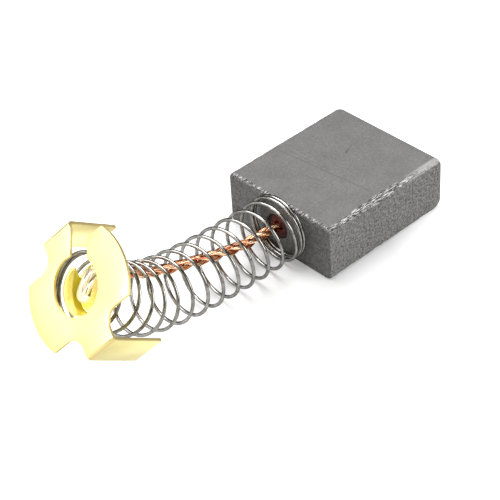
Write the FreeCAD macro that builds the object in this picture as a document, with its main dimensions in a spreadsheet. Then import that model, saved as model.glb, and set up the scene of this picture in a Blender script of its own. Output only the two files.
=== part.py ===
import FreeCAD, Part
import math
import os
import re
import Sketcher
from FreeCAD import Placement, Rotation, Vector

# Carbon brush of a hand-held motor tool, in millimetres.
# The block stands on its underside with the origin at that face's centre. +X points to the
# contact face, which runs on the commutator, and the spring leaves the opposite face.
doc = FreeCAD.newDocument("carbon_brush")
sheet = doc.addObject("Spreadsheet::Sheet", "sizes")

DIMENSIONS = {
    # pressed carbon block
    "block_length": 21.0,
    "block_width": 18.0,
    "block_height": 8.0,
    "contact_edge_round": 1.5,
    "side_rim_chamfer": 0.6,
    # blind hole for the pigtail, from the middle of the spring face
    "hole_bore": 3.6,
    "hole_depth": 6.0,
    "hole_aside": 0.5,
    "hole_drop": 0.4,
    "tamping_clearance": 0.02,
    "tamping_recess": 0.3,
    # flexible copper pigtail
    "rope_diameter": 1.4,
    "rope_embedded": 4.5,
    # compression spring: its seat on the block is above the middle, so that it clears the floor
    "coil_radius": 4.33,
    "wire_diameter": 0.45,
    "seat_aside": -0.6,
    "seat_lift": 0.6,
    "seat_gap": 0.05,
    "closed_pitch": 0.49,
    "turns": 16.2,
    "closed_turns_block": 1.7,
    "closed_turns_cap": 1.0,
    "pitch_growth": 0.3,
    "start_turn_angle": 137.5,
    # free bend of the spring, as the brush lies out of its holder
    "cap_reach": 33.83,
    "cap_aside": -2.99,
    "cap_rise": 16.09,
    "cap_pitch": 33.5,
    "cap_yaw": -1.3,
    "cap_roll": -147.0,
    "bend_arm_block": 28.0,
    "bend_arm_cap": 7.8,
    # stamped brass cap
    "sheet_thickness": 0.4,
    "rim_radius": 7.9,
    "lobe_half_height": 4.4,
    "stalk_half_width": 2.3,
    "notch_round": 1.9,
    "tab_offset": 7.7,
    "tab_length": 7.7,
    "tab_bend": 0.6,
    "wire_hole_radius": 3.55,
    "wire_hole_along": 0.38,
    "wire_hole_across": -0.34,
    "slot_width": 2.76,
    "slot_angle": -60.0,
    # tray that the cap's tongue is pressed into, which carries the pigtail's end
    "tray_radius": 3.25,
    "tray_front": 0.88,
    "tray_floor": 3.06,
    "tray_corner": 0.25,
    "neck_angle": 36.0,
    "neck_bend": 0.5,
    "mouth_at_floor": 1.4,
    "mouth_at_front": 2.62,
    "rope_gate_radius": 1.15,
    "rope_gate_along": 2.9,
    "rope_gate_across": 0.2,
    # solder that holds the pressed end of the pigtail in the tray
    "solder_thickness": 0.95,
    "solder_foot_along": -0.35,
    "solder_foot_across": -1.35,
    "solder_head_along": 1.45,
    "solder_head_across": -0.55,
    "solder_foot_radius": 1.15,
    "solder_head_radius": 1.1,
    "solder_round": 0.35,
    "rope_socket_clearance": 0.05,
}

for row, (alias, number) in enumerate(DIMENSIONS.items(), start=1):
    sheet.set(f"A{row}", alias)
    sheet.set(f"B{row}", str(number))
    sheet.setAlias(f"B{row}", alias)
doc.recompute()


def size(expression):
    """The number that an expression in the sheet's names stands for."""
    return float(sheet.evalExpression(expression))


def bound(expression):
    """The same expression as another object writes it."""
    def named(found):
        word = found.group()
        return "sizes." + word if word in DIMENSIONS else word

    return re.sub("[a-z_]+", named, expression)


def body(name):
    made = doc.addObject("PartDesign::Body", name)
    made.Label = name
    return made


def origin_plane(owner, role):
    for feature in owner.Origin.OriginFeatures:
        if feature.Role == role:
            return feature
    raise RuntimeError("no plane " + role)


def sketch_on(owner, role, name):
    made = owner.newObject("Sketcher::SketchObject", name)
    made.AttachmentSupport = [(origin_plane(owner, role), "")]
    made.MapMode = "FlatFace"
    return made


def place_point(sketch, edge, end, along, up):
    """Hold one end of an edge at two distances from the sketch's origin."""
    for kind, expression in (("DistanceX", along), ("DistanceY", up)):
        index = sketch.addConstraint(
            Sketcher.Constraint(kind, edge, end, size(expression)))
        name = f"{kind}_{index}"
        sketch.renameConstraint(index, name)
        sketch.setExpression("Constraints." + name, bound(expression))


def outline(sketch, corners):
    """Closed profile: each corner is (x, y), with a radius and turn where an arc follows it."""
    points = []
    for corner in corners:
        points.append(Vector(size(corner[0]), size(corner[1]), 0))
    for number, corner in enumerate(corners):
        start = points[number]
        finish = points[(number + 1) % len(points)]
        if len(corner) == 2:
            edge = sketch.addGeometry(Part.LineSegment(start, finish), False)
            first = 1
        else:
            radius = size(corner[2])
            left = corner[3] == "left"
            edge = sketch.addGeometry(turning_arc(start, finish, radius, left), False)
            first = 1 if left else 2
            index = sketch.addConstraint(Sketcher.Constraint("Radius", edge, radius))
            sketch.renameConstraint(index, f"Round_{index}")
            sketch.setExpression(f"Constraints.Round_{index}", bound(corner[2]))
        place_point(sketch, edge, first, corner[0], corner[1])
        following = corners[(number + 1) % len(corners)]
        place_point(sketch, edge, 3 - first, following[0], following[1])


def turning_arc(start, finish, radius, left):
    """Arc of at most half a turn that bends left or right on its way."""
    chord = finish - start
    middle = (start + finish) * 0.5
    height = math.sqrt(max(radius ** 2 - (chord.Length / 2) ** 2, 0.0))
    side = Vector(-chord.y, chord.x, 0).normalize()
    centre = middle + side * (height if left else -height)
    circle = Part.Circle(centre, Vector(0, 0, 1), radius)
    ends = (start, finish) if left else (finish, start)
    angles = [math.atan2(end.y - centre.y, end.x - centre.x) for end in ends]
    return Part.ArcOfCircle(circle, angles[0], angles[1])


def circle_in(sketch, along, up, radius):
    centre = Vector(size(along), size(up), 0)
    edge = sketch.addGeometry(Part.Circle(centre, Vector(0, 0, 1), size(radius)), False)
    index = sketch.addConstraint(Sketcher.Constraint("Radius", edge, size(radius)))
    sketch.renameConstraint(index, "Circle_radius")
    sketch.setExpression("Constraints.Circle_radius", bound(radius))
    place_point(sketch, edge, 3, along, up)


def pad(owner, sketch, name, length, midplane=False):
    made = owner.newObject("PartDesign::Pad", name)
    made.Profile = sketch
    made.Midplane = midplane
    made.setExpression("Length", bound(length))
    doc.recompute()
    return made


def pocket_through(owner, sketch, name):
    """Cut both ways through the whole piece, and prove that something was cut."""
    before = owner.Shape.Volume
    made = owner.newObject("PartDesign::Pocket", name)
    made.Profile = sketch
    made.Midplane = True
    made.Type = "ThroughAll"
    doc.recompute()
    if not owner.Shape.Volume < before:
        raise RuntimeError(name + " cuts nothing")
    return made


def revolve(owner, sketch, name, angle):
    made = owner.newObject("PartDesign::Revolution", name)
    made.Profile = sketch
    made.ReferenceAxis = (sketch, ["V_Axis"])
    made.Midplane = True
    made.setExpression("Angle", bound(angle))
    doc.recompute()
    return made


def edges_where(shape, test):
    names = []
    for number, edge in enumerate(shape.Edges, start=1):
        if test(edge):
            names.append(f"Edge{number}")
    return names


# The carbon block is pressed in a die and ground. The edges of the contact face, top and
# bottom, are rounded, and the rims of both side faces are broken by a small chamfer.
carbon = body("carbon_block")
face = sketch_on(carbon, "YZ_Plane", "block_section")
outline(face, [
    ("-block_width / 2", "0"),
    ("block_width / 2", "0"),
    ("block_width / 2", "block_height"),
    ("-block_width / 2", "block_height"),
])
block_pad = pad(carbon, face, "block_pad", "block_length", midplane=True)


def across_contact_face(edge):
    box = edge.BoundBox
    reach = size("block_length") / 2
    return box.XMin > reach - 0.01 and box.YLength > size("block_width") / 2


contact_round = carbon.newObject("PartDesign::Fillet", "contact_edges")
contact_round.Base = (block_pad, edges_where(block_pad.Shape, across_contact_face))
contact_round.setExpression("Radius", bound("contact_edge_round"))
doc.recompute()


def rims_a_side(edge):
    """On the rim of a side face, but not where it meets the spring face."""
    box = edge.BoundBox
    at_side = abs(box.Center.y) > size("block_width") / 2 - 0.01
    return at_side and box.XMax > 0.01 - size("block_length") / 2


side_rims = carbon.newObject("PartDesign::Chamfer", "side_rims")
side_rims.Base = (contact_round, edges_where(contact_round.Shape, rims_a_side))
side_rims.setExpression("Size", bound("side_rim_chamfer"))
doc.recompute()

hole_profile = sketch_on(carbon, "YZ_Plane", "hole_circle")
circle_in(hole_profile, "hole_aside", "block_height / 2 - hole_drop", "hole_bore / 2")
hole_profile.AttachmentOffset = Placement(Vector(0, 0, -size("block_length") / 2), Rotation())
hole_profile.setExpression("AttachmentOffset.Base.z", bound("-block_length / 2"))
volume_before = carbon.Shape.Volume
hole = carbon.newObject("PartDesign::Pocket", "pigtail_hole")
hole.Profile = hole_profile
hole.Reversed = True
hole.setExpression("Length", bound("hole_depth"))
doc.recompute()
if not carbon.Shape.Volume < volume_before:
    raise RuntimeError("the pigtail's hole cuts nothing")

# Copper powder is tamped round the end of the pigtail until it fills the hole. Its front
# lies a little under the face of the block.
spring_face = "-block_length / 2"
tamping = body("tamping_plug")
section = sketch_on(tamping, "XY_Plane", "tamping_section")
outline(section, [
    ("rope_diameter / 2 + tamping_clearance", "tamping_recess"),
    ("hole_bore / 2 - tamping_clearance", "tamping_recess"),
    ("hole_bore / 2 - tamping_clearance", "hole_depth"),
    ("0", "hole_depth"),
    ("0", "rope_embedded"),
    ("rope_diameter / 2 + tamping_clearance", "rope_embedded"),
])
revolve(tamping, section, "tamping_turned", "360")
tamping.Placement = Placement(
    Vector(size(spring_face), size("hole_aside"), size("block_height / 2 - hole_drop")),
    Rotation(Vector(0, 0, 1), -90))

# The cap's own frame: its origin is the centre of the disc's outer face, its first axis runs
# across the tabs' folds and its third points back along the spring.
cap_turn = (
    Rotation(Vector(0, 0, 1), size("cap_yaw"))
    * Rotation(Vector(0, 1, 0), 90 + size("cap_pitch"))
    * Rotation(Vector(0, 0, 1), size("cap_roll")))
cap_place = Placement(
    Vector(size("-block_length / 2 - cap_reach"), size("cap_aside"), size("cap_rise")), cap_turn)

# The cap is one stamping of thin brass sheet. Its disc is notched at four places, and the two
# straps left between the notches are folded back as spring tabs.
cap_sheet = body("cap_sheet")
blank = sketch_on(cap_sheet, "XY_Plane", "blank_outline")
rim_along = "sqrt(rim_radius ^ 2 - lobe_half_height ^ 2)"
notch_along = "(stalk_half_width + notch_round)"
notch_up = "(lobe_half_height + notch_round)"
outline(blank, [
    (rim_along, "-lobe_half_height", "rim_radius", "left"),
    (rim_along, "lobe_half_height"),
    (notch_along, "lobe_half_height", "notch_round", "right"),
    ("stalk_half_width", notch_up),
    ("-stalk_half_width", notch_up, "notch_round", "right"),
    ("-" + notch_along, "lobe_half_height"),
    ("-" + rim_along, "lobe_half_height", "rim_radius", "left"),
    ("-" + rim_along, "-lobe_half_height"),
    ("-" + notch_along, "-lobe_half_height", "notch_round", "right"),
    ("-stalk_half_width", "-" + notch_up),
    ("stalk_half_width", "-" + notch_up, "notch_round", "right"),
    (notch_along, "-lobe_half_height"),
])
pad(cap_sheet, blank, "blank_pad", "sheet_thickness")

strap = sketch_on(cap_sheet, "YZ_Plane", "strap_section")
inner_bend = "tab_bend - sheet_thickness"
inner_wall = "tab_offset - sheet_thickness"
fold_start = "tab_offset - tab_bend"
outline(strap, [
    ("-tab_offset", "tab_length"),
    ("-tab_offset", "tab_bend", "tab_bend", "left"),
    ("-(" + fold_start + ")", "0"),
    (fold_start, "0", "tab_bend", "left"),
    ("tab_offset", "tab_bend"),
    ("tab_offset", "tab_length"),
    (inner_wall, "tab_length"),
    (inner_wall, "tab_bend", inner_bend, "right"),
    (fold_start, "sheet_thickness"),
    ("-(" + fold_start + ")", "sheet_thickness", inner_bend, "right"),
    ("-(" + inner_wall + ")", "tab_bend"),
    ("-(" + inner_wall + ")", "tab_length"),
])
pad(cap_sheet, strap, "strap_pad", "2 * stalk_half_width", midplane=True)

# The blank's keyhole: a round hole a little off centre, and a slot from it to the notch beside
# one tab. The slot's own direction is the tray's long direction.
slot_turn = Rotation(Vector(0, 0, 1), size("slot_angle"))
hole_sketch = sketch_on(cap_sheet, "XY_Plane", "wire_hole_circle")
hole_sketch.AttachmentOffset = Placement(Vector(), slot_turn)
circle_in(hole_sketch, "wire_hole_along", "wire_hole_across", "wire_hole_radius")
pocket_through(cap_sheet, hole_sketch, "wire_hole")
slot_sketch = sketch_on(cap_sheet, "XY_Plane", "slot_outline")
slot_sketch.AttachmentOffset = Placement(Vector(), slot_turn)
outline(slot_sketch, [
    ("0", "-slot_width / 2"),
    ("rim_radius", "-slot_width / 2"),
    ("rim_radius", "slot_width / 2"),
    ("0", "slot_width / 2"),
])
pocket_through(cap_sheet, slot_sketch, "wire_slot")

# The tongue from the hole is pressed back into a round tray, joined to the disc by a neck
# opposite the slot. Its wall is open towards the slot, and the pigtail comes in there.
tray = body("cap_tray")
tray_section = sketch_on(tray, "XZ_Plane", "tray_section")
tray_inside = "tray_radius - sheet_thickness"
tray_back = "tray_floor + sheet_thickness"
outer_corner = "tray_corner + sheet_thickness"
outline(tray_section, [
    ("0", "tray_floor"),
    (tray_inside + " - tray_corner", "tray_floor", "tray_corner", "right"),
    (tray_inside, "tray_floor - tray_corner"),
    (tray_inside, "tray_front"),
    ("tray_radius", "tray_front"),
    ("tray_radius", "tray_floor - tray_corner", outer_corner, "left"),
    (tray_inside + " - tray_corner", tray_back),
    ("0", tray_back),
])
revolve(tray, tray_section, "tray_pressed", "360")

mouth = sketch_on(tray, "XZ_Plane", "mouth_outline")
mouth_slope = "(mouth_at_front - mouth_at_floor) / (tray_floor - tray_front)"
outline(mouth, [
    ("mouth_at_floor", "tray_floor"),
    ("2 * tray_radius", "tray_floor"),
    ("2 * tray_radius", "0"),
    ("mouth_at_floor + tray_floor * (" + mouth_slope + ")", "0"),
])
pocket_through(tray, mouth, "tray_mouth")
gate = sketch_on(tray, "XY_Plane", "rope_gate_circle")
circle_in(gate, "rope_gate_along", "rope_gate_across", "rope_gate_radius")
pocket_through(tray, gate, "rope_gate")

neck_section = sketch_on(tray, "XZ_Plane", "neck_section")
neck_start = "-(" + tray_inside + " + neck_bend)"
neck_lap = "tray_front + sheet_thickness"
outline(neck_section, [
    ("-(tray_radius + neck_bend)", "0"),
    (neck_start, "0", "neck_bend", "right"),
    ("-(" + tray_inside + ")", "neck_bend"),
    ("-(" + tray_inside + ")", neck_lap),
    ("-tray_radius", neck_lap),
    ("-tray_radius", "neck_bend", "neck_bend - sheet_thickness", "left"),
    (neck_start, "sheet_thickness"),
    ("-(tray_radius + neck_bend)", "sheet_thickness"),
])
revolve(tray, neck_section, "tray_neck", "neck_angle")
tray.Placement = Placement(Vector(), slot_turn)

terminal = doc.addObject("Part::MultiFuse", "terminal_cap")
terminal.Label = "terminal_cap"
terminal.Shapes = [cap_sheet, tray]
terminal.Placement = cap_place
doc.recompute()

# Centre line of the bent spring: one smooth curve from its seat on the block to the disc.
# The end arms set how soon it leaves the two faces that it stands square on.
seat = Vector(size("-block_length / 2"), size("seat_aside"),
              size("block_height / 2 + seat_lift"))
cap_back = cap_turn.multVec(Vector(0, 0, 1))
disc_inside = cap_place.Base + cap_back * size("sheet_thickness")
away = Vector(-1, 0, 0)
stack_block = size("closed_pitch * (closed_turns_block + 1)")
stack_cap = size("closed_pitch * (closed_turns_cap + 1)")
axis_curve = Part.BezierCurve()
axis_curve.setPoles([
    seat + away * stack_block,
    seat + away * size("bend_arm_block"),
    disc_inside + cap_back * size("bend_arm_cap"),
    disc_inside + cap_back * stack_cap,
])
axis_length = stack_block + axis_curve.length() + stack_cap


def axis_at(along):
    """Place and heading on the axis, which is straight where the closed turns are."""
    if along < stack_block:
        return seat + away * along, away
    if along > axis_length - stack_cap:
        return disc_inside + cap_back * (axis_length - along), cap_back * -1
    place = axis_curve.parameterAtDistance(along - stack_block, 0.0)
    return axis_curve.value(place), axis_curve.tangent(place)[0]


def pitch_at(turn, open_pitch):
    """Axial advance per turn: closed at both ends, with open turns that widen to the cap."""
    last = size("turns")
    from_block = min(max(turn - size("closed_turns_block"), 0.0), 1.0)
    from_cap = min(max(last - size("closed_turns_cap") - turn, 0.0), 1.0)
    opened = from_block * from_block * (3 - 2 * from_block)
    opened *= from_cap * from_cap * (3 - 2 * from_cap)
    widened = open_pitch * (1 + size("pitch_growth") * (turn / last - 0.5))
    return size("closed_pitch") + (widened - size("closed_pitch")) * opened


def coil_stations(steps_per_turn):
    """Turn number and distance along the axis, with the open pitch that fills the room."""
    room = axis_length - 2 * (size("wire_diameter / 2 + seat_gap"))
    steps = round(size("turns") * steps_per_turn)
    step = size("turns") / steps
    closed = sum(pitch_at((k + 0.5) * step, 0.0) for k in range(steps)) * step
    per_unit = sum(pitch_at((k + 0.5) * step, 1.0) for k in range(steps)) * step - closed
    open_pitch = (room - closed) / per_unit
    stations = [(0.0, size("wire_diameter / 2 + seat_gap"))]
    for k in range(steps):
        turn, along = stations[-1]
        stations.append((turn + step, along + pitch_at((k + 0.5) * step, open_pitch) * step))
    return stations


def coil_points(steps_per_turn):
    """Points of the wire's centre: a right-handed turn carried along the bent axis."""
    points = []
    side = Vector(0, -1, 0)
    for turn, along in coil_stations(steps_per_turn):
        centre, ahead = axis_at(along)
        side = (side - ahead * side.dot(ahead)).normalize()
        rise = side.cross(ahead)
        angle = math.radians(size("start_turn_angle")) - 2 * math.pi * turn
        ring = side * math.cos(angle) + rise * math.sin(angle)
        points.append(centre + ring * size("coil_radius"))
    return points


STEPS_PER_TURN = 8
wire_line = Part.BSplineCurve()
wire_line.interpolate(coil_points(STEPS_PER_TURN))
wire_edge = wire_line.toShape()
wire_start = wire_line.value(wire_line.FirstParameter)
wire_heading = wire_line.tangent(wire_line.FirstParameter)[0]
wire_end_circle = Part.makeCircle(size("wire_diameter / 2"), wire_start, wire_heading)
spring = doc.addObject("Part::Feature", "compression_spring")
spring.Label = "compression_spring"
spring.Shape = Part.Wire([wire_edge]).makePipeShell([Part.Wire([wire_end_circle])], True, True)


def tray_point(along, across, depth):
    """A place in the tray's own directions, as a point of the whole part."""
    inside = slot_turn.multVec(Vector(along, across, 0)) + Vector(0, 0, depth)
    return cap_place.multVec(inside)


# The pigtail is a flexible rope of fine copper wires. It starts deep in the tamped powder, runs
# inside the spring along the inner side of the bend and turns down into the tray.
rope_depth = size("tray_floor - rope_diameter / 2 - 2 * rope_socket_clearance")
hole_mouth = Vector(size(spring_face), size("hole_aside"), size("block_height / 2 - hole_drop"))
ROPE_ROUTE = [
    hole_mouth + Vector(size("rope_embedded"), 0, 0),
    hole_mouth + Vector(-4.1, 0, 0),
    hole_mouth + Vector(-9.9, 0.05, 1.4),
    hole_mouth + Vector(-15.1, 0.1, 3.0),
    hole_mouth + Vector(-19.4, 0.1, 4.4),
    hole_mouth + Vector(-22.9, -0.3, 6.5),
    hole_mouth + Vector(-26.3, -1.7, 9.8),
    tray_point(size("rope_gate_along"), size("rope_gate_across"), rope_depth),
    tray_point(-0.35, -0.95, rope_depth),
]
ARC_SHARE = 0.45


def rope_path(route):
    """Straight runs joined by tangent arcs, as one wire, with each arc's radius."""
    edges = []
    radii = []
    last = route[0]
    for before, corner, after in zip(route, route[1:], route[2:]):
        into = (corner - before).normalize()
        out = (after - corner).normalize()
        shorter = min((corner - before).Length, (after - corner).Length)
        cut = ARC_SHARE * shorter
        half_turn = into.getAngle(out) / 2
        start = corner - into * cut
        finish = corner + out * cut
        to_middle = (out - into).normalize()
        depth = cut * math.sin(half_turn) - cut * math.cos(half_turn) * math.tan(half_turn / 2)
        middle = corner + to_middle * depth
        edges.append(Part.LineSegment(last, start).toShape())
        edges.append(Part.Arc(start, middle, finish).toShape())
        radii.append(cut / math.tan(half_turn))
        last = finish
    edges.append(Part.LineSegment(last, route[-1]).toShape())
    return Part.Wire(edges), radii


rope_line, rope_radii = rope_path(ROPE_ROUTE)
rope_heading = ROPE_ROUTE[1] - ROPE_ROUTE[0]
rope_circle = Part.makeCircle(size("rope_diameter / 2"), ROPE_ROUTE[0], rope_heading)
rope = doc.addObject("Part::Feature", "pigtail")
rope.Label = "pigtail"
rope.Shape = rope_line.makePipeShell([Part.Wire([rope_circle])], True, False)
print("pigtail radii", [round(radius, 2) for radius in rope_radii])
rope_section_area = math.pi * size("rope_diameter / 2") ** 2
print("pigtail length", round(rope_line.Length, 2),
      "volume share", round(rope.Shape.Volume / (rope_section_area * rope_line.Length), 4))

# The pressed end of the pigtail is soldered to the tray's floor under a smooth pad, wider at
# the foot, which is cut away round the rope where it comes in.
solder_face = size("tray_floor")


def solder_end(which):
    centre = Vector(size(f"solder_{which}_along"), size(f"solder_{which}_across"),
                    solder_face - size("solder_thickness"))
    return Part.makeCylinder(size(f"solder_{which}_radius"), size("solder_thickness"), centre)


def tangent_bridge():
    """Four-sided block that joins the two round ends along their common tangents."""
    foot = Vector(size("solder_foot_along"), size("solder_foot_across"), 0)
    head = Vector(size("solder_head_along"), size("solder_head_across"), 0)
    between = head - foot
    drop = (size("solder_foot_radius - solder_head_radius")) / between.Length
    base_angle = math.atan2(between.y, between.x)
    corners = []
    for hand in (1, -1):
        angle = base_angle + hand * math.acos(drop)
        normal = Vector(math.cos(angle), math.sin(angle), 0)
        pair = [foot + normal * size("solder_foot_radius"),
                head + normal * size("solder_head_radius")]
        corners += pair if hand == 1 else pair[::-1]
    level = Vector(0, 0, solder_face - size("solder_thickness"))
    ring = Part.makePolygon([corner + level for corner in corners + corners[:1]])
    return Part.Face(ring).extrude(Vector(0, 0, size("solder_thickness")))


pad_shape = solder_end("foot").fuse([solder_end("head"), tangent_bridge()]).removeSplitter()
front_level = solder_face - size("solder_thickness")
front_edges = []
for edge in pad_shape.Edges:
    if edge.BoundBox.ZMax < front_level + 0.01:
        front_edges.append(edge)
pad_shape = pad_shape.makeFillet(size("solder_round"), front_edges)
pad_shape.transformShape(Placement(Vector(), slot_turn).toMatrix())
pad_shape.transformShape(cap_place.toMatrix())
socket_radius = size("rope_diameter / 2 + rope_socket_clearance")
last_bend = rope_line.OrderedEdges[-2]
last_run = rope_line.OrderedEdges[-1]
bend_start = last_bend.valueAt(last_bend.FirstParameter)
bend_heading = last_bend.tangentAt(last_bend.FirstParameter)
run_end = last_run.valueAt(last_run.LastParameter)
run_heading = last_run.tangentAt(last_run.LastParameter)
overrun = Part.LineSegment(run_end, run_end + run_heading * size("rope_socket_clearance"))
socket_path = Part.Wire([last_bend, last_run, overrun.toShape()])
socket_circle = Part.makeCircle(socket_radius, bend_start, bend_heading)
socket = socket_path.makePipeShell([Part.Wire([socket_circle])], True, False)
solder = doc.addObject("Part::Feature", "solder_joint")
solder.Label = "solder_joint"
solder.Shape = pad_shape.cut(socket)

NODES = [carbon, tamping, rope, spring, terminal, solder]
doc.recompute()
for part in doc.Objects:
    if "Invalid" in part.State or "Error" in part.State:
        raise RuntimeError(part.Label + " is " + ", ".join(part.State))
os.makedirs("parts", exist_ok=True)
for node in NODES:
    if node.Shape.isNull() or not node.Shape.isValid():
        raise RuntimeError(node.Label + " has no valid shape")
    print(node.Label, "solids", len(node.Shape.Solids), "volume", round(node.Shape.Volume, 3))
    node.Shape.exportStep(f"parts/{node.Label}.step")
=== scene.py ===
import math
import random

import bmesh
import bpy
from mathutils import Matrix, Vector, noise


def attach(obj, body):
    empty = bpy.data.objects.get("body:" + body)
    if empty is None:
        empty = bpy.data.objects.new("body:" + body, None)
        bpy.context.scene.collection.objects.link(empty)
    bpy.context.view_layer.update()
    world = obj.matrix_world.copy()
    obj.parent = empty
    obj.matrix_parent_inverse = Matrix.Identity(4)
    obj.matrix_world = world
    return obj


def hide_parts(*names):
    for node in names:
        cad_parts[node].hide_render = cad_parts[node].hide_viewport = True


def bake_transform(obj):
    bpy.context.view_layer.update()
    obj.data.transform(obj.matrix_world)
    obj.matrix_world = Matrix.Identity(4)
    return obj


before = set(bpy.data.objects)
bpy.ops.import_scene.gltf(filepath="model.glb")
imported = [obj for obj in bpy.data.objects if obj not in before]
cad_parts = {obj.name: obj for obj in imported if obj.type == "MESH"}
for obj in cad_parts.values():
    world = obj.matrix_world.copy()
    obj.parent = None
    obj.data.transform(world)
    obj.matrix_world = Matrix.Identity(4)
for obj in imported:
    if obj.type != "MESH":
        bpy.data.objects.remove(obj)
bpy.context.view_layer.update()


# Carbon block.
# It is electrographite, pressed in a die and ground on six sides, 21 x 18 x 8 mm.
# Grinding leaves a matt skin, and the brittle edges are broken and chipped in handling.
MM = 0.001
NEAR = 0.01 * MM
BLOCK_LENGTH = 21 * MM
BLOCK_WIDTH = 18 * MM
BLOCK_HEIGHT = 8 * MM
CONTACT_EDGE_ROUND = 1.5 * MM
CONTACT_EDGE_STEPS = 8
SIDE_RIM_CHAMFER = 0.6 * MM
SIDE_RIM_STEPS = 2
HOLE_RADIUS = 1.8 * MM
HOLE_DEPTH = 6 * MM
HOLE_SIDES = 64
HOLE_CENTRE = Vector((-BLOCK_LENGTH / 2, 0.5 * MM, 3.6 * MM))
BLOCK_GRAIN = 0.16 * MM
BLOCK_CREASE = math.radians(40)


def only(piece):
    """Select one object alone and make it the active one."""
    bpy.ops.object.select_all(action="DESELECT")
    piece.select_set(True)
    bpy.context.view_layer.objects.active = piece


def named(name):
    """Name the active object and its mesh."""
    piece = bpy.context.object
    piece.name = name
    piece.data.name = name
    return piece


def edit_edges(piece, test):
    """Enter edit mode with only those edges selected that pass the test."""
    only(piece)
    bpy.ops.object.mode_set(mode="EDIT")
    bpy.ops.mesh.select_mode(type="EDGE")
    bpy.ops.mesh.select_all(action="DESELECT")
    shape = bmesh.from_edit_mesh(piece.data)
    for edge in shape.edges:
        start, stop = (corner.co for corner in edge.verts)
        edge.select_set(test((start + stop) / 2, (start - stop).length))
    bmesh.update_edit_mesh(piece.data)


def leave_edit():
    bpy.ops.object.mode_set(mode="OBJECT")


def modify(piece, kind, **settings):
    """Add a modifier and apply it at once."""
    only(piece)
    modifier = piece.modifiers.new(kind.lower(), kind)
    for name, value in settings.items():
        setattr(modifier, name, value)
    bpy.ops.object.modifier_apply(modifier=modifier.name)


bpy.ops.object.select_all(action="DESELECT")
bpy.ops.mesh.primitive_cube_add(size=1, location=(0, 0, BLOCK_HEIGHT / 2))
block = named("carbon_block_ground")
block.scale = (BLOCK_LENGTH, BLOCK_WIDTH, BLOCK_HEIGHT)
bpy.ops.object.transform_apply(location=True, rotation=True, scale=True)


def is_contact_edge(middle, length):
    return middle.x > BLOCK_LENGTH / 2 - NEAR and length > BLOCK_WIDTH / 2


def rims_a_side(middle, length):
    at_side = abs(middle.y) > BLOCK_WIDTH / 2 - NEAR
    return at_side and middle.x > NEAR - BLOCK_LENGTH / 2


edit_edges(block, is_contact_edge)
bpy.ops.mesh.bevel(offset=CONTACT_EDGE_ROUND, segments=CONTACT_EDGE_STEPS, profile=0.5,
                   affect="EDGES")
leave_edit()
edit_edges(block, rims_a_side)
bpy.ops.mesh.bevel(offset=SIDE_RIM_CHAMFER, segments=SIDE_RIM_STEPS, profile=0.5,
                   affect="EDGES")
leave_edit()
bpy.ops.object.select_all(action="DESELECT")
bpy.ops.mesh.primitive_cylinder_add(vertices=HOLE_SIDES, radius=HOLE_RADIUS,
                                    depth=2 * HOLE_DEPTH, location=HOLE_CENTRE,
                                    rotation=(0, math.pi / 2, 0))
drill = bpy.context.object
modify(block, "BOOLEAN", object=drill, operation="DIFFERENCE")
bpy.data.objects.remove(drill)
modify(block, "REMESH", mode="VOXEL", voxel_size=BLOCK_GRAIN)

# The right upper rim is crumbled from the spring's end to past the middle, and rubbed to a
# burnish beyond, where a lighter tone is painted on as a highlight along the bevel. For each
# other
# rim: how broken it is, and the distances over which that fades.
CRUMBLED_UNTIL = (12 * MM, 19 * MM)
CRUMBS_WIDEN = (1 * MM, 8 * MM)
CRUMBS_NARROW = (10 * MM, 15 * MM)
LEAST_REACH = 0.7
ADDED_REACH = 0.3
FULL_SHARE = 0.45
LEAST_BROKEN = 0.1
BURNISH_AND_SHEEN_REACH = (0.55 * MM, 0.75 * MM)
OTHER_SIDE = 9 * MM
WORN_RIMS = {
    "left": (0.4, 0.2 * MM, 0.9 * MM),
    "low": (0.5, 0.2 * MM, 0.8 * MM),
    "spring end, upper": (1.0, 0.2 * MM, 0.7 * MM),
    "spring end, side": (0.15, 0.1 * MM, 0.4 * MM),
}
CRUMB_SIZE = (1.5 * MM, 0.24 * MM, 0.24 * MM)
SMALL_CRUMB_SIZE = (0.45 * MM, 0.18 * MM, 0.18 * MM)
SMALL_CRUMB_SHARE = 0.7
MORE_CRUMBS = 0.1
CRUMB_DEPTH = 0.2 * MM
SPRING_END_BAND = 0.9 * MM
TURNED = (0.4, 0.8)
SMOOTHER_END = 0.5


def ramp(value, low, high):
    """Smooth rise from 0 at one value to 1 at another."""
    share = min(max((value - low) / (high - low), 0.0), 1.0)
    return share * share * (3 - 2 * share)


def edge_wear(place):
    """How broken the carbon is near an edge, and its burnish with a painted highlight, both 0 to
    1.
    """
    from_side = BLOCK_WIDTH / 2 - abs(place.y)
    from_top = BLOCK_HEIGHT - place.z
    from_spring_end = place.x + BLOCK_LENGTH / 2
    upper = math.hypot(from_side, from_top)
    right = upper if place.y < 0 else OTHER_SIDE
    distances = {
        "left": upper if place.y > 0 else OTHER_SIDE,
        "low": math.hypot(from_side, place.z),
        "spring end, upper": math.hypot(from_spring_end, from_top),
        "spring end, side": math.hypot(from_spring_end, from_side),
    }
    crumbled = 1 - ramp(from_spring_end, *CRUMBLED_UNTIL)
    widest = ramp(from_spring_end, *CRUMBS_WIDEN) * (1 - ramp(from_spring_end, *CRUMBS_NARROW))
    reach = (LEAST_REACH + ADDED_REACH * widest) * MM
    broken = LEAST_BROKEN + (1 - LEAST_BROKEN) * crumbled
    broken = broken * (1 - ramp(right, FULL_SHARE * reach, reach))
    for rim, (strength, full, gone) in WORN_RIMS.items():
        broken = max(broken, strength * (1 - ramp(distances[rim], full, gone)))
    burnished = (1 - ramp(right, *BURNISH_AND_SHEEN_REACH)) * (1 - crumbled)
    return broken, burnished


def crumbs(place, sizes):
    """Noise whose lumps have the given sizes along the three axes."""
    return noise.noise(Vector([part / size for part, size in zip(place, sizes)]))


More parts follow.
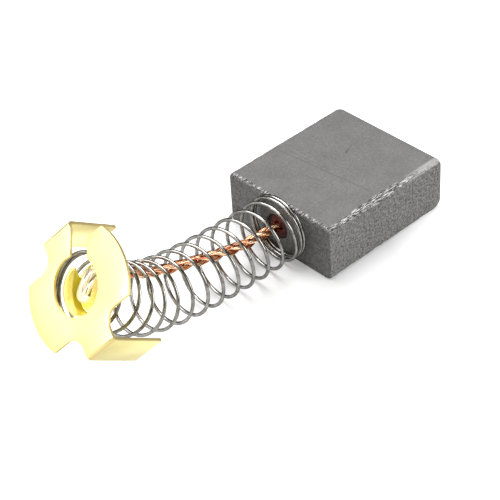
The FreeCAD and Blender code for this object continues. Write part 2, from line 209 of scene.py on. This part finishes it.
broken_mark = block.data.attributes.new("broken", "FLOAT", "POINT")
burnish_and_sheen_mark = block.data.attributes.new("burnished", "FLOAT", "POINT")
side_mark = block.data.attributes.new("side", "FLOAT", "POINT")
facing = [vertex.normal.copy() for vertex in block.data.vertices]
for index, vertex in enumerate(block.data.vertices):
    place = vertex.co.copy()
    broken, burnished = edge_wear(place)
    smoother = SMOOTHER_END * ramp(-facing[index].x, *TURNED)
    side_mark.data[index].value = (1 - ramp(abs(facing[index].z), *TURNED)) * (1 - smoother)
    if broken > 0:
        crumb = crumbs(place, CRUMB_SIZE) + SMALL_CRUMB_SHARE * crumbs(place, SMALL_CRUMB_SIZE)
        depth = max(0.0, crumb + MORE_CRUMBS) * broken * CRUMB_DEPTH
        inward = Vector((0, -place.y, BLOCK_HEIGHT - 2 * place.z))
        if place.x < SPRING_END_BAND - BLOCK_LENGTH / 2:
            inward.x = BLOCK_WIDTH / 2
        vertex.co = place + inward.normalized() * depth
    broken_mark.data[index].value = broken
    burnish_and_sheen_mark.data[index].value = burnished
only(block)
bpy.ops.object.shade_smooth_by_angle(angle=BLOCK_CREASE)


class Socket:
    """One output in a material's nodes, with arithmetic that adds Math nodes."""

    def __init__(self, finish, output):
        self.finish = finish
        self.output = output

    def maths(self, operation, *others):
        return self.finish.add("ShaderNodeMath", {"operation": operation}, [self, *others])

    def __add__(self, other):
        return self.maths("ADD", other)

    __radd__ = __add__

    def __mul__(self, other):
        return self.maths("MULTIPLY", other)

    __rmul__ = __mul__

    def __sub__(self, other):
        return self.maths("SUBTRACT", other)

    def __rsub__(self, other):
        return self.finish.add("ShaderNodeMath", {"operation": "SUBTRACT"}, [other, self])

    def clamped(self):
        return self.finish.add("ShaderNodeClamp", {}, [self, 0.0, 1.0])


class Finish:
    """A material under construction: its tree, its surface shader and one way to add nodes."""

    def __init__(self, name, **values):
        self.material = bpy.data.materials.new(name)
        self.material.use_nodes = True
        self.tree = self.material.node_tree
        self.surface = self.tree.nodes["Principled BSDF"]
        for socket, value in values.items():
            self.surface.inputs[socket.replace("_", " ")].default_value = value

    def add(self, kind, settings, inputs, output=0):
        """Add a node, set it up, link or set its inputs, and give one of its outputs."""
        node = self.tree.nodes.new(kind)
        for name, value in settings.items():
            if name == "stops":
                self.set_stops(node.color_ramp, value)
            else:
                setattr(node, name, value)
        pairs = inputs.items() if isinstance(inputs, dict) else enumerate(inputs)
        for key, value in pairs:
            self.link(value, node.inputs[key])
        return Socket(self, node.outputs[output])

    def set_stops(self, colours, stops):
        while len(colours.elements) < len(stops):
            colours.elements.new(1.0)
        for element, (position, colour) in zip(colours.elements, stops):
            element.position = position
            element.color = (*colour, 1.0)

    def link(self, value, target):
        if isinstance(value, Socket):
            self.tree.links.new(value.output, target)
        else:
            target.default_value = value

    def to_surface(self, **sockets):
        for name, value in sockets.items():
            self.link(value, self.surface.inputs[name.replace("_", " ")])

    def place(self):
        return self.add("ShaderNodeTexCoord", {}, {}, "Object")

    def attribute(self, name):
        return self.add("ShaderNodeAttribute", {"attribute_name": name}, {}, "Fac")

    def parts(self, vector):
        """The three parts of a vector, each a socket."""
        split = self.add("ShaderNodeSeparateXYZ", {}, [vector])
        return [Socket(self, split.output.node.outputs[axis]) for axis in "XYZ"]

    def grey(self, tone, tint):
        """A tone in a fixed tint, as a colour."""
        return self.add("ShaderNodeCombineColor", {}, [tone * part for part in tint])

    def mix(self, share, first, second):
        """The first colour where the share is 0, the second where it is 1."""
        return self.add("ShaderNodeMix", {"data_type": "RGBA"},
                        {0: share, 6: first, 7: second}, 2)

    def colours(self, share, *stops):
        """A colour that runs through the stops as the share rises."""
        return self.add("ShaderNodeValToRGB", {"stops": stops}, [share])

    def noise(self, place, scale, detail=2.0, roughness=0.5):
        return self.add("ShaderNodeTexNoise", {}, {
            "Vector": place, "Scale": scale, "Detail": detail, "Roughness": roughness})

    def bump(self, height, strength, distance):
        return self.add("ShaderNodeBump", {}, {
            "Strength": strength, "Distance": distance, "Height": height}, "Normal")

    def dress(self, piece):
        piece.data.materials.clear()
        piece.data.materials.append(self.material)


SCRATCH_FADE = 0.8 * MM
SCRATCH_WANDER = 0.25 * MM
WANDER_SCALE = 700
SCRATCHED_ABOVE = 0.9 * BLOCK_HEIGHT
SCRATCHED_RISE = 0.02 * BLOCK_HEIGHT


def scratch(finish, place, start, stop, half_width):
    """A scratch on the upper face from one point (x, y) to another: 1 in it and 0 beside it."""
    run = Vector(stop) - Vector(start)
    heading = run.normalized()
    x, y, z = finish.parts(place)
    wander = (finish.noise(place, WANDER_SCALE) - 0.5) * SCRATCH_WANDER
    along = (x - start[0]) * heading.x + (y - start[1]) * heading.y
    aside = (x - start[0]) * -heading.y + (y - start[1]) * heading.x + wander
    line = (1 - aside.maths("ABSOLUTE") * (1 / half_width)).clamped()
    begun = (along * (1 / SCRATCH_FADE)).clamped()
    unended = ((run.length - along) * (1 / SCRATCH_FADE)).clamped()
    on_top = ((z - SCRATCHED_ABOVE) * (1 / SCRATCHED_RISE)).clamped()
    return line * (begun * unended) * on_top


# Scratches in mm: start, stop, half width and how dark.
SCRATCHES = (
    ((-2.68, 7.6), (-1.2, -7.7), 0.2, 0.5),
    ((-2.1, 7.2), (-1.3, -0.6), 0.11, 0.6),
    ((2.35, 0.71), (5.24, 1.72), 0.12, 0.8),
    ((2.2, 0.66), (3.6, 1.14), 0.16, 1.1),
    ((1.02, 0.74), (2.64, 1.59), 0.07, 0.5),
    ((-4.9, 3.4), (-3.6, -2.6), 0.1, 0.35),
)
GRAIN_SCALE = 3100
CLOUD_SCALE = 240
PIT_SCALE = 7600
PITS_ALONG_RIM = (0.14, 1.0, 1.0)
SPECKLE_ON_TOP = 0.8
SPECKLE_ON_SIDES = 3.2
PAINTED_GLINT_ABOVE = 0.51
PAINTED_GLINT_CONTRAST = 12
PAINTED_GLINT_WHERE_BROKEN = 0.12
PIT_SHADE_BELOW = 0.48
PIT_SHADE_CONTRAST = 14
GROUND_TONE = 0.168
CLOUD_TONE = 0.08
SPECKLE_TONE = 0.2
PAINTED_SHEEN_TONE = 0.2
PAINTED_GLINT_TONE = 0.5
PIT_SHADE_DARKNESS = 0.8
SCRATCH_DARKNESS = 0.45
BRIGHTEST = 0.88
CARBON_TINT = (1.0, 0.99, 0.965)
GRAIN_RELIEF = 0.4
PIT_RELIEF = 3
SCRATCH_RELIEF = 2
carbon = Finish("ground_carbon", Specular_IOR_Level=0.35)
where = carbon.place()
grain = carbon.noise(where, GRAIN_SCALE, detail=3.0, roughness=0.7)
cloud = carbon.noise(where, CLOUD_SCALE, detail=4.0, roughness=0.55)
side = carbon.attribute("side")
broken = carbon.attribute("broken")
burnished = carbon.attribute("burnished")
streaked = carbon.add("ShaderNodeVectorMath", {"operation": "MULTIPLY"},
                      [where, PITS_ALONG_RIM])
pits = carbon.noise(streaked, PIT_SCALE, roughness=0.65)
speckle = (grain - 0.5) * (SPECKLE_ON_TOP + side * SPECKLE_ON_SIDES)
# Painted glints: bright specks on the broken rims, lifted into the colour, with lower roughness.
painted_glint = (pits - PAINTED_GLINT_ABOVE) * PAINTED_GLINT_CONTRAST * (broken - PAINTED_GLINT_WHERE_BROKEN).clamped()
painted_glint = painted_glint.clamped()
# Painted shade: the deepest pits on the broken rims are darkened.
painted_pit_shade = ((PIT_SHADE_BELOW - pits) * PIT_SHADE_CONTRAST * broken).clamped()
scored = 0
for start, stop, half_width, darkness in SCRATCHES:
    ends = [(x * MM, y * MM) for x, y in (start, stop)]
    scored = scratch(carbon, where, *ends, half_width * MM) * darkness + scored
tone = GROUND_TONE + (cloud - 0.5) * CLOUD_TONE + speckle * SPECKLE_TONE
# Burnish lightens the tone: a painted highlight along the bevel, with lower roughness there.
tone = tone + burnished * PAINTED_SHEEN_TONE
tone = tone * (1 - painted_pit_shade * PIT_SHADE_DARKNESS) * (1 - scored * SCRATCH_DARKNESS)
tone = (tone + painted_glint * PAINTED_GLINT_TONE).maths("MINIMUM", BRIGHTEST)
relief = grain * (GRAIN_RELIEF + side) + pits * broken * PIT_RELIEF - scored * SCRATCH_RELIEF
carbon.to_surface(
    Base_Color=carbon.grey(tone, CARBON_TINT),
    Roughness=0.6 - painted_glint * 0.25 - burnished * 0.15,
    Normal=carbon.bump(relief, strength=0.4, distance=0.06 * MM))
carbon.dress(block)
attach(block, "brush")
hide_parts("carbon_block")


# Tamped copper powder.
# It is pressed into the block's blind hole round the end of the pigtail, and holds it there.
# Its front is rough and a dark red, a little under the face of the block.
# It turns near black towards the rim of the hole.
LUMP_SCALE = 2600
RIM_WANDER_SCALE = 900
RED_RADIUS = 1.2 * MM
RIM_FADE = 0.35 * MM
RIM_WANDER = 1.6 * MM
NEAR_BLACK_RIM = (0.035, 0.024, 0.022, 1)
tamped = Finish("tamped_copper_powder", Metallic=0.35)
where = tamped.place()
lumps = tamped.noise(where, LUMP_SCALE, detail=4.0, roughness=0.7)
x, y, z = tamped.parts(where)
y = y - HOLE_CENTRE.y
z = z - HOLE_CENTRE.z
wander = (tamped.noise(where, RIM_WANDER_SCALE, detail=3.0, roughness=0.6) - 0.5) * RIM_WANDER
from_middle = (y * y + z * z).maths("SQRT") + wander
toward_rim = ((from_middle - RED_RADIUS) * (1 / RIM_FADE)).clamped()
red = tamped.colours(
    lumps, (0.3, (0.03, 0.006, 0.006)), (0.52, (0.19, 0.032, 0.03)), (0.75, (0.46, 0.12, 0.1)))
tamped.to_surface(
    Base_Color=tamped.mix(toward_rim, red, NEAR_BLACK_RIM),
    Roughness=0.75,
    Normal=tamped.bump(lumps, strength=0.8, distance=0.15 * MM))
tamped.dress(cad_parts["tamping_plug"])


# Compression spring.
# One length of bright spring steel wire, wound right-handed with closed turns at both ends.
# It stands square on the block and on the cap, and bows upwards between them when free.
COIL_RADIUS = 4.33 * MM
WIRE_RADIUS = 0.225 * MM
SEAT_GAP = 0.05 * MM
CLOSED_PITCH = 0.49 * MM
TURNS = 16.2
CLOSED_TURNS_BLOCK = 1.7
CLOSED_TURNS_CAP = 1.0
PITCH_GROWTH = 0.3
START_TURN_ANGLE = math.radians(137.5)
STEPS_A_TURN = 56
WIRE_CREASE = math.radians(50)
SHEET = 0.4 * MM
SEAT = Vector((-BLOCK_LENGTH / 2, -0.6 * MM, BLOCK_HEIGHT / 2 + 0.6 * MM))
CAP_CENTRE = Vector((-BLOCK_LENGTH / 2 - 33.83 * MM, -2.99 * MM, 16.09 * MM))
CAP_YAW = math.radians(-1.3)
CAP_PITCH = math.radians(33.5)
CAP_ROLL = math.radians(-147)
CAP_TURN = (Matrix.Rotation(CAP_YAW, 3, "Z")
            @ Matrix.Rotation(math.pi / 2 + CAP_PITCH, 3, "Y")
            @ Matrix.Rotation(CAP_ROLL, 3, "Z"))
CAP_BACK = CAP_TURN @ Vector((0, 0, 1))
DISC_INSIDE = CAP_CENTRE + CAP_BACK * SHEET
STACK_BLOCK = CLOSED_PITCH * (CLOSED_TURNS_BLOCK + 1)
STACK_CAP = CLOSED_PITCH * (CLOSED_TURNS_CAP + 1)
BEND_PULL_BLOCK = 28 * MM
BEND_PULL_CAP = 7.8 * MM
AWAY = Vector((-1, 0, 0))
AXIS_POLES = (
    SEAT + AWAY * STACK_BLOCK,
    SEAT + AWAY * BEND_PULL_BLOCK,
    DISC_INSIDE + CAP_BACK * BEND_PULL_CAP,
    DISC_INSIDE + CAP_BACK * STACK_CAP,
)
BEND_STEPS = 600


def bend_point(share):
    """Point of the bend's cubic curve."""
    rest = 1 - share
    weights = (rest ** 3, 3 * rest * rest * share, 3 * rest * share * share, share ** 3)
    return sum((pole * weight for pole, weight in zip(AXIS_POLES, weights)), Vector())


bend = [bend_point(step / BEND_STEPS) for step in range(BEND_STEPS + 1)]
travelled = [0.0]
for before, after in zip(bend, bend[1:]):
    travelled.append(travelled[-1] + (after - before).length)
AXIS_LENGTH = STACK_BLOCK + travelled[-1] + STACK_CAP


def axis_at(along):
    """Place and heading on the spring's axis at a distance from the block."""
    if along < STACK_BLOCK:
        return SEAT + AWAY * along, AWAY
    if along > AXIS_LENGTH - STACK_CAP:
        return DISC_INSIDE + CAP_BACK * (AXIS_LENGTH - along), -CAP_BACK
    wanted = along - STACK_BLOCK
    low = 0
    high = BEND_STEPS
    while high - low > 1:
        half = (low + high) // 2
        if travelled[half] <= wanted:
            low = half
        else:
            high = half
    share = (wanted - travelled[low]) / (travelled[high] - travelled[low])
    return bend[low].lerp(bend[high], share), (bend[high] - bend[low]).normalized()


def pitch_at(turn, open_pitch):
    """Advance per turn: closed at both ends, with open turns that widen to the cap."""
    opened = ramp(turn - CLOSED_TURNS_BLOCK, 0, 1) * ramp(TURNS - CLOSED_TURNS_CAP - turn, 0, 1)
    widened = open_pitch * (1 + PITCH_GROWTH * (turn / TURNS - 0.5))
    return CLOSED_PITCH + (widened - CLOSED_PITCH) * opened


def coil_line(steps_per_turn):
    """Points of the wire's centre, as a ring carried along the axis without twist."""
    steps = round(TURNS * steps_per_turn)
    step = TURNS / steps
    room = AXIS_LENGTH - 2 * (WIRE_RADIUS + SEAT_GAP)
    closed = sum(pitch_at((k + 0.5) * step, 0.0) for k in range(steps)) * step
    per_unit = sum(pitch_at((k + 0.5) * step, 1.0) for k in range(steps)) * step - closed
    open_pitch = (room - closed) / per_unit
    along = WIRE_RADIUS + SEAT_GAP
    side = Vector((0, -1, 0))
    points = []
    for k in range(steps + 1):
        centre, ahead = axis_at(along)
        side = (side - ahead * side.dot(ahead)).normalized()
        rise = side.cross(ahead)
        angle = START_TURN_ANGLE - 2 * math.pi * k * step
        points.append(centre + (side * math.cos(angle) + rise * math.sin(angle)) * COIL_RADIUS)
        along += pitch_at((k + 0.5) * step, open_pitch) * step
    return points


def curve_through(name, kind, lines):
    """A curve in space with one spline of a kind for each list of points."""
    curve = bpy.data.curves.new(name, "CURVE")
    curve.dimensions = "3D"
    for line in lines:
        spline = curve.splines.new(kind)
        spline.points.add(len(line) - 1)
        for point, place in zip(spline.points, line):
            point.co = (*place, 1)
    drawn = bpy.data.objects.new(name, curve)
    bpy.context.scene.collection.objects.link(drawn)
    return drawn


def wire_mesh(name, lines, radius, roundness):
    """Round wires along lists of points, closed at both ends, as one mesh."""
    drawn = curve_through(name, "POLY", lines)
    drawn.data.bevel_depth = radius
    drawn.data.bevel_resolution = roundness
    drawn.data.use_fill_caps = True
    only(drawn)
    bpy.ops.object.convert(target="MESH")
    piece = named(name)
    bpy.ops.object.shade_smooth_by_angle(angle=WIRE_CREASE)
    return piece


DRAWN_MARK_SCALE = 1400
spring = wire_mesh("compression_spring_wire", [coil_line(STEPS_A_TURN)], WIRE_RADIUS, roundness=4)
steel = Finish("spring_steel", Metallic=1.0, Specular_Tint=(0.1, 0.1, 0.09, 1))
drawn_marks = steel.noise(steel.place(), DRAWN_MARK_SCALE, detail=3.0, roughness=0.6)
steel.to_surface(
    Base_Color=steel.colours(
        drawn_marks, (0.3, (0.19, 0.185, 0.175)), (0.7, (0.43, 0.415, 0.39))),
    Roughness=0.13 + drawn_marks * 0.1,
    Normal=steel.bump(drawn_marks, strength=0.06, distance=0.02 * MM))
steel.dress(spring)
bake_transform(spring)
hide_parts("compression_spring")


# Pigtail.
# A flexible rope of fine bare copper wires, laid up in three strands that turn round each
# other. It runs from the tamped powder through the spring's bend into the cap's tray.
ROPE_RADIUS = 0.7 * MM
SLOT_TURN = Matrix.Rotation(math.radians(-60), 3, "Z")
TRAY_FLOOR = 3.06 * MM
ROPE_CLEARANCE = 0.1 * MM
ROPE_DEPTH = TRAY_FLOOR - ROPE_RADIUS - ROPE_CLEARANCE


def tray_point(along, across, depth):
    """A place in the tray's own directions, as a point of the whole object."""
    inside = SLOT_TURN @ Vector((along, across, 0)) + Vector((0, 0, depth))
    return CAP_CENTRE + CAP_TURN @ inside


ROPE_ROUTE = (
    HOLE_CENTRE + Vector((4.5, 0, 0)) * MM,
    HOLE_CENTRE + Vector((-4.1, 0, 0)) * MM,
    HOLE_CENTRE + Vector((-9.9, 0.05, 1.4)) * MM,
    HOLE_CENTRE + Vector((-15.1, 0.1, 3.0)) * MM,
    HOLE_CENTRE + Vector((-19.4, 0.1, 4.4)) * MM,
    HOLE_CENTRE + Vector((-22.9, -0.3, 6.5)) * MM,
    HOLE_CENTRE + Vector((-26.3, -1.7, 9.8)) * MM,
    tray_point(2.9 * MM, 0.2 * MM, ROPE_DEPTH),
    tray_point(-0.35 * MM, -0.95 * MM, ROPE_DEPTH),
)
ROUTE_STEPS = 24
LINE_STEP = 0.24 * MM
STRANDS = 3
STRAND_LAY = 7.8 * MM
STRAND_PACKING = 1.1
STRAND_SLACK = 0.35
SLACK_LENGTH = 2.4 * MM
WIRE_LAYERS = ((1, 0.0), (7, 0.68))
COPPER_WIRE_RADIUS = 0.105 * MM
WIRE_LAY = 6.5 * MM
WIRE_PLAY = 0.25
WIRE_LOOSENESS = 0.16
LOOSE_LENGTH = 1.5 * MM
NOISE_ROOM = 50
LAY_SEED = 5


def smooth_route(points):
    """Points read from the NURBS spline that has the route as its control points."""
    holder = curve_through("route", "NURBS", [points])
    spline = holder.data.splines[0]
    spline.order_u = 3
    spline.use_endpoint_u = True
    holder.data.resolution_u = ROUTE_STEPS
    mesh = bpy.data.meshes.new_from_object(holder)
    line = [vertex.co.copy() for vertex in mesh.vertices]
    bpy.data.objects.remove(holder)
    return line


def evenly(line, step):
    """The same line with points at even distances, each with its heading and distance."""
    lengths = [0.0]
    for before, after in zip(line, line[1:]):
        lengths.append(lengths[-1] + (after - before).length)
    count = round(lengths[-1] / step)
    stations = []
    segment = 0
    for k in range(count + 1):
        wanted = lengths[-1] * k / count
        while segment < len(line) - 2 and lengths[segment + 1] < wanted:
            segment += 1
        span = lengths[segment + 1] - lengths[segment]
        share = (wanted - lengths[segment]) / span
        ahead = (line[segment + 1] - line[segment]).normalized()
        stations.append((line[segment].lerp(line[segment + 1], share), ahead, wanted))
    return stations


def rope_wires():
    """Centre lines of all wires: each turns in its strand, and each strand in the rope."""
    rng = random.Random(LAY_SEED)
    side = Vector((0, 0, 1))
    frames = []
    for centre, ahead, along in evenly(smooth_route(ROPE_ROUTE), LINE_STEP):
        side = (side - ahead * side.dot(ahead)).normalized()
        frames.append((centre, side, ahead.cross(side), along))
    strand_radius = STRAND_PACKING * ROPE_RADIUS / (1 + 2 / math.sqrt(3))
    ring = 2 / math.sqrt(3) * strand_radius
    lines = []
    for strand in range(STRANDS):
        start = 2 * math.pi * strand / STRANDS
        sway = rng.uniform(0, NOISE_ROOM)
        for count, share in WIRE_LAYERS:
            for wire in range(count):
                phase = 2 * math.pi * wire / count + rng.uniform(-WIRE_PLAY, WIRE_PLAY)
                wander = Vector((rng.uniform(0, NOISE_ROOM), rng.uniform(0, NOISE_ROOM), 0))
                line = []
                for centre, across, up, along in frames:
                    slack = noise.noise(Vector((sway, 0, along / SLACK_LENGTH)))
                    turn = start + 2 * math.pi * along / STRAND_LAY + STRAND_SLACK * slack
                    small = phase - 2 * math.pi * along / WIRE_LAY
                    loose = noise.noise(wander + Vector((0, 0, along / LOOSE_LENGTH)))
                    inner = share * strand_radius * (1 + WIRE_LOOSENESS * loose)
                    out = ring * math.cos(turn) + inner * math.cos(small)
                    high = ring * math.sin(turn) + inner * math.sin(small)
                    line.append(centre + across * out + up * high)
                lines.append(line)
    return lines


TINNED = (2.8 * MM, 4.4 * MM)
TINNED_COLOUR = (0.92, 0.86, 0.70, 1)
TINT_SCALE = 900
TINT_WITHIN_WIRE = 0.55
TINT_OF_WIRE = 0.45
SHADE_SEED = 11
wires = rope_wires()
pigtail = wire_mesh("pigtail_wires", wires, COPPER_WIRE_RADIUS, roundness=2)
corners_a_wire = len(pigtail.data.vertices) // len(wires)
rng = random.Random(SHADE_SEED)
shades = [rng.random() for wire in wires]
tinned_mark = pigtail.data.attributes.new("tinned", "FLOAT", "POINT")
shade_mark = pigtail.data.attributes.new("shade", "FLOAT", "POINT")
for index, vertex in enumerate(pigtail.data.vertices):
    from_end = (vertex.co - ROPE_ROUTE[-1]).length
    tinned_mark.data[index].value = 1 - ramp(from_end, *TINNED)
    shade_mark.data[index].value = shades[index // corners_a_wire]
copper = Finish("bare_copper_wires", Metallic=1.0, Specular_Tint=(0.7, 0.5, 0.4, 1))
spots = copper.noise(copper.place(), TINT_SCALE, detail=3.0, roughness=0.6)
tint = spots * TINT_WITHIN_WIRE + copper.attribute("shade") * TINT_OF_WIRE
tinned = copper.attribute("tinned")
bare = copper.colours(
    tint, (0.22, (0.42, 0.12, 0.055)), (0.48, (0.86, 0.45, 0.25)), (0.72, (0.98, 0.82, 0.6)))
copper.to_surface(
    Base_Color=copper.mix(tinned, bare, TINNED_COLOUR),
    Roughness=0.17 + tint * 0.1 + tinned * 0.25)
copper.dress(pigtail)
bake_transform(pigtail)
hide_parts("pigtail")


# Terminal cap.
# One stamping of thin brass sheet: a notched disc with two straps folded back as tabs, and a
# tongue pressed back into a tray for the pigtail's end. The tray's far wall is a deeper
# yellow, a painted reflection of light bouncing between its brass walls.
WELD_DISTANCE = 0.002 * MM
FLAT_WITHIN = math.radians(1.5)
SHARP_FROM = math.radians(50)
BRASS_CREASE = math.radians(35)
EDGE_BREAK = 0.05 * MM
CUT_LEAN = 0.75
DISC_EDGE_DEPTH = SHEET + 0.03 * MM
TAB_ACROSS = 7.1 * MM
TONGUE_EDGE_DEPTH = 1.1 * MM
TRAY_REACH = 4.5 * MM
PAINTED_BOUNCE_SIDE = Vector((-0.87, -0.5, 0))
PAINTED_BOUNCE_DEPTH = (0.5 * MM, 1.4 * MM)
PAINTED_BOUNCE_ASIDE = (0.8 * MM, 2.4 * MM)
CUT_BRASS = (0.85, 0.69, 0.31, 1)
PAINTED_BOUNCE_YELLOW = (0.95, 0.87, 0.22, 1)
ROLLED_SCALE = 500
bpy.ops.object.select_all(action="DESELECT")
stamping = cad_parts["terminal_cap"]
cap = bpy.data.objects.new("terminal_cap_stamped", stamping.data.copy())
cap.data.name = "terminal_cap_stamped"
bpy.context.scene.collection.objects.link(cap)
cap.data.transform(stamping.matrix_world)
only(cap)
bpy.ops.object.mode_set(mode="EDIT")
bpy.ops.mesh.select_all(action="SELECT")
bpy.ops.mesh.remove_doubles(threshold=WELD_DISTANCE)
bpy.ops.mesh.dissolve_limited(angle_limit=FLAT_WITHIN)
bpy.ops.mesh.customdata_custom_splitnormals_clear()
leave_edit()
modify(cap, "BEVEL", width=EDGE_BREAK, segments=2, limit_method="ANGLE",
       angle_limit=SHARP_FROM, harden_normals=False)
modify(cap, "TRIANGULATE")


def in_cap(place):
    """A point of the whole object in the cap's own directions, with z from the disc inwards."""
    return CAP_TURN.transposed() @ (place - CAP_CENTRE)


def cut_edge(face):
    """Whether a face is part of the sheet's cut edge."""
    middle = in_cap(face.center)
    facing = CAP_TURN.transposed() @ face.normal
    if middle.z < DISC_EDGE_DEPTH:
        return abs(facing.z) < CUT_LEAN
    if abs(middle.y) > TAB_ACROSS:
        return abs(facing.y) < CUT_LEAN
    return middle.z < TONGUE_EDGE_DEPTH and facing.z < -CUT_LEAN


cut_mark = cap.data.attributes.new("cut", "FLOAT", "FACE")
for face in cap.data.polygons:
    cut_mark.data[face.index].value = 1.0 if cut_edge(face) else 0.0
# Painted reflection: deep in the tray, on its far side, the brass turns a deeper yellow.
painted_bounce_mark = cap.data.attributes.new("flux", "FLOAT", "POINT")
for index, vertex in enumerate(cap.data.vertices):
    inside = in_cap(vertex.co)
    if math.hypot(inside.x, inside.y) < TRAY_REACH:
        deep = ramp(inside.z, *PAINTED_BOUNCE_DEPTH)
        painted_bounce_mark.data[index].value = deep * ramp(inside.dot(PAINTED_BOUNCE_SIDE), *PAINTED_BOUNCE_ASIDE)
only(cap)
bpy.ops.object.shade_smooth_by_angle(angle=BRASS_CREASE)
brass = Finish("rolled_brass", Metallic=1.0)
rolled = brass.noise(brass.place(), ROLLED_SCALE, detail=3.0, roughness=0.6)
cut = brass.attribute("cut")
sheet_colour = brass.colours(rolled, (0.3, (0.95, 0.83, 0.34)), (0.7, (0.98, 0.87, 0.38)))
with_painted_bounce = brass.mix(brass.attribute("flux"), sheet_colour, PAINTED_BOUNCE_YELLOW)
brass.to_surface(
    Base_Color=brass.mix(cut, with_painted_bounce, CUT_BRASS),
    Roughness=0.26 + rolled * 0.12 + cut * 0.16)
brass.dress(cap)
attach(cap, "cap")
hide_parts("terminal_cap")


# Solder.
# It flowed over the pressed end of the pigtail in the tray and set there as a smooth pad.
# It is tin solder, a little yellow.
FLOW_SCALE = 700
solder = Finish("tin_solder", Metallic=0.75, Roughness=0.5)
flow = solder.noise(solder.place(), FLOW_SCALE, detail=3.0)
solder.to_surface(
    Base_Color=solder.colours(flow, (0.3, (0.86, 0.79, 0.62)), (0.7, (0.96, 0.92, 0.78))),
    Normal=solder.bump(flow, strength=0.4, distance=0.08 * MM))
solder.dress(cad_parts["solder_joint"])


# Studio: a pale floor and a world that the camera sees as white, a wide soft light above, a
# weak one on the right and a card on the left. Two more cards show only in bright metal.
# The floor also glows: to the camera more away from the block, which washes out shadows
# there, and in reflections, brightest under the cap, as painted light seen in the brass.
PAPER = (0.6, 0.6, 0.6, 1)
WHITE = (1, 1, 1, 1)
SHADOW_MIDDLE = (-9 * MM, -7 * MM)
SHADOW_REACH = 20 * MM
SHADOW_CORE = 0.45
UNDER_CAP = (-35 * MM, 3 * MM)
UNDER_CAP_REACH = 12 * MM
UNDER_CAP_CORE = 1.4
FLOOR_GLOW = 0.26
FLOOR_WHITE = 0.7
UNDER_CAP_GLOW = 0.64
FLOOR_SIZE = 2.0
WORLD_LIGHT = 0.14
WORLD_SEEN = 1.0
bpy.ops.object.select_all(action="DESELECT")
bpy.ops.mesh.primitive_plane_add(size=FLOOR_SIZE, location=(0, 0, 0))
floor = named("studio_floor")
paper = Finish("studio_white", Roughness=0.9, Specular_IOR_Level=0.0, Base_Color=PAPER)
x, y, z = paper.parts(paper.place())


def from_point(place_x, place_y):
    """Distance on the floor from a point, as a socket."""
    return ((x - place_x) * (x - place_x) + (y - place_y) * (y - place_y)).maths("SQRT")


away_from_shadow = (from_point(*SHADOW_MIDDLE) * (1 / SHADOW_REACH) - SHADOW_CORE).clamped()
# Painted light: a glowing patch of floor under the cap, seen only in reflections.
glow_under_cap = (UNDER_CAP_CORE - from_point(*UNDER_CAP) * (1 / UNDER_CAP_REACH)).clamped()
seen = paper.add("ShaderNodeLightPath", {}, {}, "Is Camera Ray")
mirrored = paper.add("ShaderNodeLightPath", {}, {}, "Is Glossy Ray")
paper.to_surface(Emission_Color=WHITE,
                 Emission_Strength=seen * (away_from_shadow * FLOOR_WHITE + FLOOR_GLOW)
                 + mirrored * (FLOOR_GLOW + glow_under_cap * UNDER_CAP_GLOW))
paper.dress(floor)

world = bpy.data.worlds.new("studio_world")
bpy.context.scene.world = world
world.use_nodes = True
sky = world.node_tree.nodes["Background"]
sky.inputs["Color"].default_value = WHITE
ray = world.node_tree.nodes.new("ShaderNodeLightPath")
strength = world.node_tree.nodes.new("ShaderNodeMapRange")
strength.inputs["To Min"].default_value = WORLD_LIGHT
strength.inputs["To Max"].default_value = WORLD_SEEN
world.node_tree.links.new(ray.outputs["Is Camera Ray"], strength.inputs["Value"])
world.node_tree.links.new(strength.outputs["Result"], sky.inputs["Strength"])


def soft_light(name, place, target, size, power, only_in_metal=False):
    """A square light aimed at a point, in metres and watts."""
    light = bpy.data.lights.new(name, "AREA")
    light.shape = "SQUARE"
    light.size = size
    light.energy = power
    holder = bpy.data.objects.new(name, light)
    holder.location = place
    holder.rotation_euler = (Vector(target) - Vector(place)).to_track_quat("-Z", "Y").to_euler()
    holder.visible_diffuse = not only_in_metal
    bpy.context.scene.collection.objects.link(holder)


DISC = (-0.044, -0.003, 0.016)
soft_light("top_softbox", (0.02, 0.06, 0.45), (-0.02, 0, 0), size=0.28, power=2.2)
soft_light("right_fill", (0.10, -0.32, 0.16), (-0.01, 0, 0), size=0.25, power=0.95)
soft_light("left_card", (-0.19, 0.13, 0.045), DISC, size=0.2, power=0.185)
soft_light("front_card", (-0.21, 0.0, 0.126), DISC, size=0.15, power=0.26, only_in_metal=True)
soft_light("coil_card", (-0.146, 0.226, 0.30), (-0.03, 0, 0.01), size=0.2, power=1.0,
           only_in_metal=True)


# Camera: it looks down at 38.75 degrees on the spring's side and rolls by 3.8 degrees.
# Its place, direction and lens come from the block's seven visible corners.
CAMERA_PLACE = Vector((-127.2, -126.5, 138.5)) * MM
CAMERA_DOWN = math.radians(38.75)
CAMERA_AZIMUTH = math.radians(48.61)
ROLL_SHARE = 0.052
PIXELS = 500
FOCAL_PIXELS = 1720.6
NEAREST_SEEN = 0.01
ahead = Vector((math.cos(CAMERA_DOWN) * math.cos(CAMERA_AZIMUTH),
                math.cos(CAMERA_DOWN) * math.sin(CAMERA_AZIMUTH), -math.sin(CAMERA_DOWN)))
level_right = Vector((math.sin(CAMERA_AZIMUTH), -math.cos(CAMERA_AZIMUTH), 0))
level_down = ahead.cross(level_right)
roll = math.asin(ROLL_SHARE / -level_down.z)
right = level_right * math.cos(roll) + level_down * math.sin(roll)
down = level_down * math.cos(roll) - level_right * math.sin(roll)
turn = Matrix((right, -down, -ahead)).transposed()
lens = bpy.data.cameras.new("photo_camera")
lens.sensor_width = 36
lens.lens = FOCAL_PIXELS * lens.sensor_width / PIXELS
lens.clip_start = NEAREST_SEEN
camera = bpy.data.objects.new("photo_camera", lens)
camera.matrix_world = Matrix.Translation(CAMERA_PLACE) @ turn.to_4x4()
bpy.context.scene.collection.objects.link(camera)
bpy.context.scene.camera = camera
bpy.context.scene.view_settings.view_transform = "Standard"
